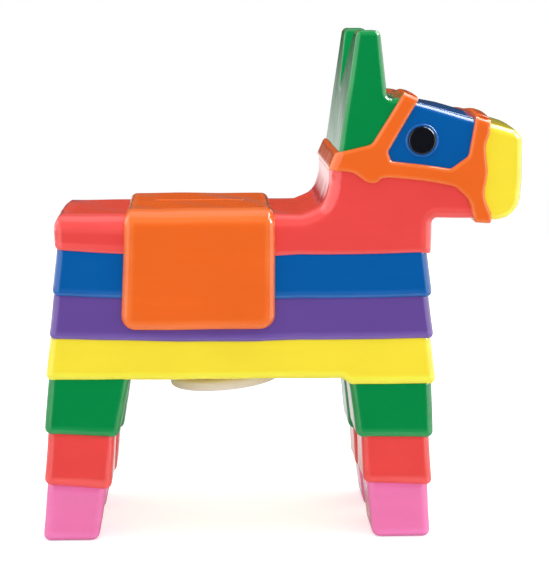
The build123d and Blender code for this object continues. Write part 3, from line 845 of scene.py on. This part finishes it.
def make_face(sizes):
    """The blue face panel: between the top of the nose and a line that lies under the halter."""
    upper = heads((-9.5, 45.5), (20.0, 37.4))
    lower = heads((-21.2, 27.2), (-19.1, 19.0), (8.2, 15.3), (17.8, 21.8), (20.0, 26.4))
    curves = walk(upper, upper, [60], ["even"]), walk(lower, lower, [8, 32, 14, 6], ["even"] * 4)
    edges = [(heads((-30, 51.1), (40, 31.9)), sizes.head_round, 1.6)]
    slab("face_panel", "blue", curves, 48, edges, sizes, rows=14)


def make_muzzle(sizes):
    """The yellow muzzle: between a line under the halter and the rounded line of nose, lips and chin."""
    seam = heads((20.0, 33.4), (20.0, 2.4))
    outline = heads((20.0, 37.3), (36.3, 33.0), (36.6, 14.0), (35.2, -2.0), (20.0, -2.3))
    front = rounded(outline, [4.6, 30.0, 10.5], 16)
    curves = [walk(curve, curve[[0, -1]], [96], ["even"]) for curve in (np.array(seam), front)]
    slab("muzzle", "yellow", curves, 44, [(front, sizes.head_round + 1.0, 2.6)], sizes, rows=20)


# --- Saddle blanket -------------------------------------------------------------------------------


def make_saddle(sizes):
    """The saddle blanket, as a sheet over length and girth. The girth runs up the near side, round a
    shoulder, over the back and down the far side; the blanket stands proud of it, less a quarter round
    near its rim and a small one round the coin slot. Its lower corners are arcs and its rear edge flares."""
    low, high = span("saddle_blanket")
    half, top, shoulder = high[1], high[2], sizes.saddle_shoulder
    drop = top - shoulder - low[2]
    flat, arc = half - shoulder, shoulder * QUARTER
    reach = drop + arc + flat
    deep, corner, flare = 3.6, 6.2, 2.3  # how far the rim drops, the lower corners' arcs, the rear edge's flare
    slot_x, slot_y = SLOT_HALF

    marks = [slot_y, flat, flat + arc + 2, reach - 12, reach]
    eases = ["start", "even", "even", "end", "even", "start", "even", "even", "end"]
    g = spread([-mark for mark in marks[::-1]] + marks, [24, 30, 16, 34, 6, 34, 16, 30, 24], eases)
    ends = [low[0], SLOT_X - slot_x, SLOT_X + slot_x, high[0]]
    along = spread(ends, [26, 30, 26], ["both"] * 3)
    taken = quarter_round(reach - np.abs(g), corner)
    side = np.clip((np.abs(g) - flat) / (drop + arc), 0, 1)
    rear, front = low[0] - flare * side**1.5 + taken, high[0] - taken
    # On top the lines across stay straight, beside the slot; down the sides they fit between rear and front
    fitting = np.maximum(np.clip((np.abs(g) - 20) / 15, 0, 1), taken > 0)
    plain = along[:, None] + 0 * g
    fitted = rear + (front - rear) * (plain - low[0]) / (high[0] - low[0])
    x = plain + (fitted - plain) * fitting

    place = np.stack([x, g + 0 * x], -1)
    rim = np.concatenate([place[:, 0], place[-1], place[::-1, -1], place[0, ::-1]])
    depth = distance(place.reshape(-1, 2), rim).reshape(x.shape)
    slot = np.maximum(np.maximum(np.abs(x - SLOT_X) - slot_x, np.abs(g) - slot_y), 0)
    sunk = quarter_round(depth, sizes.saddle_edge) * deep / sizes.saddle_edge
    sunk = np.maximum(sunk, quarter_round(slot, 0.9))
    # The rim takes the lighter colour over a wide band, thin glaze and painted highlight for the blanket's light
    # rims; the slot's edge a little
    thin_and_highlight = np.maximum(edge_thin_and_highlight(depth, 4.8), 0.15 * edge_thin_and_highlight(slot, 1.5))
    # A lighter band along the middle of each shoulder: painted highlight, not thin glaze
    thin_and_highlight = np.maximum(thin_and_highlight, edge_thin_and_highlight(np.abs(np.abs(g) - flat - arc * 0.42), arc * 0.46))

    def on_girth(below):
        """The sheet this far below the blanket: near side, shoulder, top, shoulder, far side."""
        turn = np.clip((np.abs(g) - flat) / arc, 0, 1) * QUARTER
        down = np.maximum(np.abs(g) - flat - arc, 0)
        out = np.minimum(np.abs(g), flat) + (shoulder - below) * np.sin(turn)
        out -= shoulder * (BACK_SPREAD - 1) * (1 - np.sin(turn)) * np.abs(np.clip(g / flat, -1, 1))
        height = top - shoulder + (shoulder - below) * np.cos(turn) - down
        return np.stack([x, np.sign(g) * out, height], -1)

    i0, i1 = (np.argmin(np.abs(along - end)) for end in ends[1:3])
    j0, j1 = (np.argmin(np.abs(g - end)) for end in (-slot_y, slot_y))
    points, faces = two_sheets(on_girth(sunk), on_girth(np.full(x.shape, deep + 0.9)), 3, (i0, i1, j0, j1))
    kept = np.ones(x.shape, bool)
    kept[i0 + 1 : i1, j0 + 1 : j1] = False
    thin_and_highlight = np.pad(thin_and_highlight[kept], (0, len(points) - kept.sum()))
    a, b, c = (points[faces[:, k]] for k in range(3))
    if (np.cross(b - a, c - a) * a).sum() < 0:
        faces = faces[:, ::-1]
    put("saddle_blanket", by_hand(points, sizes), faces, thin_and_highlight, "orange", ["saddle_blanket"])


# --- Eyes and stopper -----------------------------------------------------------------------------


def turned_piece(profile, columns=72):
    """Loops of a shape turned on a lathe: each pair of the profile is a radius and a height."""
    angle = np.linspace(0, 2 * math.pi, columns, endpoint=False)
    radius, height = np.array(profile, float).T
    x, y = radius[:, None] * np.cos(angle), radius[:, None] * np.sin(angle)
    return np.stack([x, y, height[:, None] + 0 * x], -1)


EYE_SHIFT = (-0.4, -0.9)  # the eyes were set a little further to the rear and lower than planned


def make_eye(side, sizes):
    """An eye: a low dome of black glaze, turned round an axis across the head, in a rim of pooled glaze that is
    painted lighter all round as a highlight.
    """
    node = "near_eye" if side < 0 else "far_eye"
    low, high = span(node)
    x, z = (low[0] + high[0]) / 2 + EYE_SHIFT[0], (low[2] + high[2]) / 2 + EYE_SHIFT[1]
    proud, buried = high[1] - low[1], -0.8
    edge, soft, rise = 4.7, 0.9, 0.4  # the dome's radius, its rounding and how far its middle rises
    dome = [(2.0, buried), (5.5, buried)]
    for turn in np.linspace(0, QUARTER, 9):
        dome.append((edge + soft * math.cos(turn), proud - 0.55 - soft + soft * math.sin(turn)))
    dome += [(r, proud - 0.55 + rise * (1 - (r / edge) ** 2)) for r in (4.0, 3.1, 2.0, 0.9)]

    def stood(points):
        """Laid on its side: the lathe's axis points out of this side of the head."""
        points = np.stack([x + points[:, 0], side * (HEAD_HALF + points[:, 2]), z + points[:, 1] * -side], 1)
        return by_hand(points, sizes)

    points, faces = tube(turned_piece(dome), [(0, 0, buried), (0, 0, proud - 0.12)])
    put(node, stood(points), faces, None, "black", [node])
    angle = np.linspace(0, 2 * math.pi, 14, endpoint=False)
    rim = np.stack([6.0 + 0.72 * np.cos(angle), -0.05 + 0.62 * np.sin(angle)], 1)
    points, faces = tube(turned_piece(rim))
    # The rim is painted in the lighter blue all round: painted highlight for the light that the ring catches
    put(f"{node}_rim", stood(points), faces, np.full(len(points), 0.9), "blue", [])


def make_stopper():
    """The stopper, turned: a wide cap with a soft rim that hangs a little askew, and a hollow plug."""
    top = span("belly_stopper")[1][2]
    tilt, gap = math.radians(5.0), 1.1
    radius, half, soft, bore = 23.5, 2.3, 1.7, 18.44  # of the cap, half its thickness, its rim, the plug
    flat, out, up = radius - soft, soft * np.sin(ARC), soft * np.cos(ARC)
    cap = [(r, -half) for r in (1.5, 8.0, 15.0, 20.0)]
    cap += [*zip(flat + out, soft - half - up), *zip(flat + up, half - soft + out)]
    cap = turned_piece([*cap, (19.6, half), (bore, half)], 96)
    c, s = math.cos(tilt), math.sin(tilt)
    cap = np.stack([cap[..., 0] * c - cap[..., 2] * s, cap[..., 1], cap[..., 0] * s + cap[..., 2] * c], -1)
    cap += (HOLE_X, 0, BELLY_HEIGHT - gap - radius * s - half)
    wall = [(bore, BELLY_HEIGHT + 0.2), (bore, top - 0.8), (bore - 0.6, top), (bore - 2.4, top)]
    wall += [(bore - 3, top - 0.8), (bore - 3, BELLY_HEIGHT + 0.4), (8, BELLY_HEIGHT), (1.5, BELLY_HEIGHT)]
    plug = turned_piece(wall, 96) + (HOLE_X, 0, 0)
    points, faces = tube(np.concatenate([cap, plug]), [cap[0].mean(0), (HOLE_X, 0, BELLY_HEIGHT)])
    put("belly_stopper", points, faces, None, "stopper", ["belly_stopper"], "stopper")


# --- Stage ----------------------------------------------------------------------------------------


def make_table(left, right, front, behind):
    """The table, a flat sheet between its four edges. It shows the donkey's shadow, and seen straight by the
    camera it is lifted to white."""
    mesh = bpy.data.meshes.new("table")
    corners = [(left, front, 0), (right, front, 0), (right, behind, 0), (left, behind, 0)]
    mesh.from_pydata(corners, [], [(0, 1, 2, 3)])
    material, web, shader = new_material("white_table")
    web.feed(shader, {
        "Base Color": (0.8, 0.8, 0.8, 1),
        "Roughness": 0.5,
        "Emission Color": (1, 1, 1, 1),
        "Emission Strength": web.math("MULTIPLY", web.add("LightPath")["Is Camera Ray"], 0.5),
    })
    mesh.materials.append(material)
    piece = bpy.data.objects.new("table", mesh)
    bpy.context.scene.collection.objects.link(piece)


def studio(light):
    """The room: white where the camera sees it, even and plain for the light on the donkey, and for its
    reflections a dark room with pale walls to the left and far behind, a warm one above the table's far edge,
    and soft lamps at the sides and above."""
    world = bpy.data.worlds.new("studio")
    bpy.context.scene.world = world
    world.use_nodes = True
    web = Wiring(world.node_tree)
    web.nodes.clear()
    rays = web.add("LightPath")
    x, y, z = web.add("SeparateXYZ", {0: web.add("TexCoord")["Generated"]})

    def soft_step(value, start, end):
        """0 before the start, 1 after the end, smooth between; the start may be the larger."""
        values = {"Value": value, "From Min": min(start, end), "From Max": max(start, end)}
        values |= {"To Min": float(start > end), "To Max": float(start < end)}
        return web.add("MapRange", values, interpolation_type="SMOOTHSTEP")["Result"]

    def card(strength, *steps):
        """A soft card of light in the directions where every step is up."""
        value = strength
        for axis, start, end in steps:
            value = web.math("MULTIPLY", soft_step(axis, start, end), value)
        return value

    cards = [
        card(1.1, (y, 0.2, 0.5), (z, 0.02, -0.1), (x, 0.16, -0.02)),
        card(1.8, (x, -0.45, -0.7)),
        card(2.4, (x, 0.55, 0.8), (z, 0.8, 0.6)),
        card(12.0, (x, 0.2, 0.28), (x, 0.52, 0.44), (z, 0.5, 0.65), (y, -0.35, -0.2), (y, 0.7, 0.55)),
        card(0.8, (z, 0.3, 0.6), (y, 0.0, 0.25), (y, 0.9, 0.6)),
        card(22.0, (x, 0.48, 0.58), (z, 0.34, 0.44), (y, -0.55, -0.35), (y, 0.3, 0.15)),
        card(1.6, (x, 0.24, 0.3), (y, 0.6, 0.75), (z, 0.0, 0.08), (z, 0.5, 0.35)),
    ]
    warm = card(1.0, (z, 0.04, 0.1), (z, 0.4, 0.2), (y, 0.7, 0.9), (x, 0.12, 0.08))
    mirrored = web.math("MULTIPLY_ADD", warm, 0.4, 0.04)
    for one in cards:
        mirrored = web.math("ADD", mirrored, one)
    glossy, seen = rays["Is Glossy Ray"], rays["Is Camera Ray"]
    mirrored = web.math("MULTIPLY", mirrored, glossy)
    plain = web.math("MULTIPLY", web.math("SUBTRACT", 1.0, glossy), light)
    strength = web.add("Mix", {"Factor": seen, "A": web.math("ADD", mirrored, plain), "B": 1.0})["Result"]
    colour = web.mix(web.math("MULTIPLY", warm, glossy), (1, 1, 1, 1), (1, 0.18, 0.06, 1))
    background = web.add("Background", {"Color": colour, "Strength": strength})
    web.add("OutputWorld", {"Surface": background["Background"]})


def facing(name, data, place, aim):
    """Stands a lamp or a camera at a place, facing its aim."""
    holder = bpy.data.objects.new(name, data)
    bpy.context.scene.collection.objects.link(holder)
    holder.location = place
    holder.rotation_euler = (Vector(aim) - Vector(place)).to_track_quat("-Z", "Y").to_euler()
    return holder


def soft_lamp(name, place, aim, size, power):
    """A soft lamp at a place, facing its aim; power in watts. It lights the donkey but isn't mirrored in it:
    what the glaze mirrors is in the room."""
    lamp = bpy.data.lights.new(name, "AREA")
    lamp.shape, lamp.size, lamp.size_y, lamp.energy = "RECTANGLE", size[0], size[1], power
    facing(name, lamp, place, aim).visible_glossy = False


def make_camera(place, aim, lens):
    """The camera at a place, facing its aim; the lens in millimetres."""
    camera = bpy.data.cameras.new("camera")
    camera.lens, camera.sensor_width, camera.clip_start, camera.clip_end = lens, 36.0, 0.01, 50
    bpy.context.scene.camera = facing("camera", camera, place, aim)


# --- Panel values ---------------------------------------------------------------------------------


def colour(label, about, red, green, blue):
    """A colour for the panel, given as it is seen on a screen, 0 to 255."""
    return bpy.props.FloatVectorProperty(
        name=label, description=about, subtype="COLOR", size=3, min=0, max=1, default=linear(red, green, blue)
    )


def length(label, about, millimetres):
    """A length for the panel, given in millimetres."""
    return bpy.props.FloatProperty(
        name=label, description=about, default=millimetres * MM, min=0, precision=4, unit="LENGTH"
    )


def point(label, about, *metres):
    """A place for the panel, given in metres."""
    return bpy.props.FloatVectorProperty(name=label, description=about, subtype="XYZ", size=3, default=metres)


class BankGlazes(bpy.types.PropertyGroup):
    """Colours of the glazes and of the stopper."""

    red: colour("Red", "Glaze of the back, the neck and the shins", 240, 76, 73)
    blue: colour("Blue", "Glaze of the upper band and the face", 2, 92, 168)
    purple: colour("Purple", "Glaze of the middle band", 104, 76, 156)
    yellow: colour("Yellow", "Glaze of the belly band and the muzzle", 255, 232, 60)
    green: colour("Green", "Glaze of the ears and the thighs", 2, 140, 70)
    orange: colour("Orange", "Glaze of the saddle blanket and the halter", 245, 108, 36)
    pink: colour("Pink", "Glaze of the hooves", 242, 118, 178)
    black: colour("Black", "Glaze of the eyes", 16, 18, 25)
    stopper: colour("Stopper", "Plastic of the belly stopper", 244, 236, 220)


class BankSizes(bpy.types.PropertyGroup):
    """Sizes that a maker would change."""

    wall: length("Wall", "Thickness of the ceramic", 4.5)
    corner: length("Corners", "Rounding of the upright corners", 3.6)
    band_lip: length("Band lip", "Rounding of a body band's lower edge", 2.7)
    leg_lip: length("Leg lip", "Rounding of a leg section's lower edge", 2.6)
    back_round: length("Back", "Rounding of the back's top edges", 6.2)
    head_round: length("Head", "Rounding of the head's outer edges", 2.4)
    saddle_shoulder: length("Blanket shoulder", "Rounding of the blanket over the back's edges", 6.8)
    saddle_edge: length("Blanket rim", "Rounding of the blanket's rim", 3.2)
    halter_proud: length("Halter", "How far the halter stands above the head", 1.5)
    uneven: length("Unevenness", "How far the hand-made surfaces wander", 0.35)


class BankStage(bpy.types.PropertyGroup):
    """Camera and light."""

    camera_place: point("Camera", "Where the camera stands", -0.033, -0.7446, 0.2183)
    camera_aim: point("Aim", "What the camera looks at", -0.0025, -0.038, 0.1044)
    lens: bpy.props.FloatProperty(name="Lens", description="Focal length in millimetres", default=110.0)
    light: bpy.props.FloatProperty(name="Room light", description="Even light of the room", default=0.96, min=0)


# --- Operators ------------------------------------------------------------------------------------


class BANK_OT_body_bands(bpy.types.Operator):
    """Make the blue and the purple band round the body"""

    bl_idname, bl_label = "bank.body_bands", "Body bands"

    def execute(self, context):
        for name, paint in (("blue_band", "blue"), ("purple_band", "purple")):
            make_band(name, paint, Sizes())
        return {"FINISHED"}


class BANK_OT_belly_band(bpy.types.Operator):
    """Make the yellow belly band with the stopper's hole"""

    bl_idname, bl_label = "bank.belly_band", "Belly band"

    def execute(self, context):
        make_belly_band(Sizes())
        return {"FINISHED"}


class BANK_OT_back(bpy.types.Operator):
    """Make the back and rump with the coin slot"""

    bl_idname, bl_label = "bank.back", "Back"

    def execute(self, context):
        make_back(Sizes())
        return {"FINISHED"}


class BANK_OT_saddle(bpy.types.Operator):
    """Make the saddle blanket"""

    bl_idname, bl_label = "bank.saddle", "Saddle blanket"

    def execute(self, context):
        make_saddle(Sizes())
        return {"FINISHED"}


class BANK_OT_neck(bpy.types.Operator):
    """Make the chest, neck and lower head"""

    bl_idname, bl_label = "bank.neck", "Neck"

    def execute(self, context):
        make_neck(Sizes())
        return {"FINISHED"}


class BANK_OT_crown(bpy.types.Operator):
    """Make the crown and the ears"""

    bl_idname, bl_label = "bank.crown", "Crown and ears"

    def execute(self, context):
        make_crown(Sizes())
        return {"FINISHED"}


class BANK_OT_halter(bpy.types.Operator):
    """Make the halter"""

    bl_idname, bl_label = "bank.halter", "Halter"

    def execute(self, context):
        make_halter(Sizes())
        return {"FINISHED"}


class BANK_OT_face(bpy.types.Operator):
    """Make the face panel and the muzzle"""

    bl_idname, bl_label = "bank.face", "Face and muzzle"

    def execute(self, context):
        sizes = Sizes()
        make_face(sizes)
        make_muzzle(sizes)
        return {"FINISHED"}


class BANK_OT_eyes(bpy.types.Operator):
    """Make both eyes and their rims"""

    bl_idname, bl_label = "bank.eyes", "Eyes"

    def execute(self, context):
        for side in (-1, 1):
            make_eye(side, Sizes())
        return {"FINISHED"}


class BANK_OT_legs(bpy.types.Operator):
    """Make the twelve leg sections"""

    bl_idname, bl_label = "bank.legs", "Legs"

    def execute(self, context):
        for side in ("near", "far"):
            for end, section in LEAN:
                make_leg_section(side, end, section, Sizes())
        return {"FINISHED"}


class BANK_OT_stopper(bpy.types.Operator):
    """Make the belly stopper"""

    bl_idname, bl_label = "bank.stopper", "Stopper"

    def execute(self, context):
        make_stopper()
        return {"FINISHED"}


class BANK_OT_stage(bpy.types.Operator):
    """Make the table, the room, the lamp and the camera"""

    bl_idname, bl_label = "bank.stage", "Stage"

    def execute(self, context):
        stage = context.scene.bank_stage
        make_table(left=-2.0, right=0.45, front=-0.16, behind=0.9)
        studio(stage.light)
        soft_lamp("lamp_above", place=(-0.1, -0.15, 0.9), aim=(0, 0, 0.1), size=(0.7, 0.5), power=1.9)
        make_camera(stage.camera_place, stage.camera_aim, stage.lens)
        context.scene.view_settings.view_transform = "Standard"
        return {"FINISHED"}


STEPS = (
    "body_bands", "belly_band", "back", "saddle", "neck", "crown", "halter", "face", "eyes", "legs",
    "stopper", "stage",
)


class VIEW3D_PT_donkey_bank(bpy.types.Panel):
    """Sizes, colours and steps of the donkey bank"""

    bl_label, bl_category = "Donkey bank", "Donkey bank"
    bl_space_type, bl_region_type = "VIEW_3D", "UI"

    def draw(self, context):
        scene = context.scene
        for group in (scene.bank_glazes, scene.bank_sizes, scene.bank_stage):
            box = self.layout.box()
            for key in type(group).__annotations__:
                box.prop(group, key)
        for step in STEPS:
            self.layout.operator(f"bank.{step}")


CLASSES = (
    BankGlazes, BankSizes, BankStage, BANK_OT_body_bands, BANK_OT_belly_band, BANK_OT_back, BANK_OT_saddle,
    BANK_OT_neck, BANK_OT_crown, BANK_OT_halter, BANK_OT_face, BANK_OT_eyes, BANK_OT_legs, BANK_OT_stopper,
    BANK_OT_stage, VIEW3D_PT_donkey_bank,
)


def register():
    for cls in CLASSES:
        bpy.utils.register_class(cls)
    bpy.types.Scene.bank_glazes = bpy.props.PointerProperty(type=BankGlazes)
    bpy.types.Scene.bank_sizes = bpy.props.PointerProperty(type=BankSizes)
    bpy.types.Scene.bank_stage = bpy.props.PointerProperty(type=BankStage)


def unregister():
    del bpy.types.Scene.bank_stage, bpy.types.Scene.bank_sizes, bpy.types.Scene.bank_glazes
    for cls in reversed(CLASSES):
        bpy.utils.unregister_class(cls)


def main():
    register()
    for step in STEPS:
        getattr(bpy.ops.bank, step)()


if __name__ == "__main__":
    main()
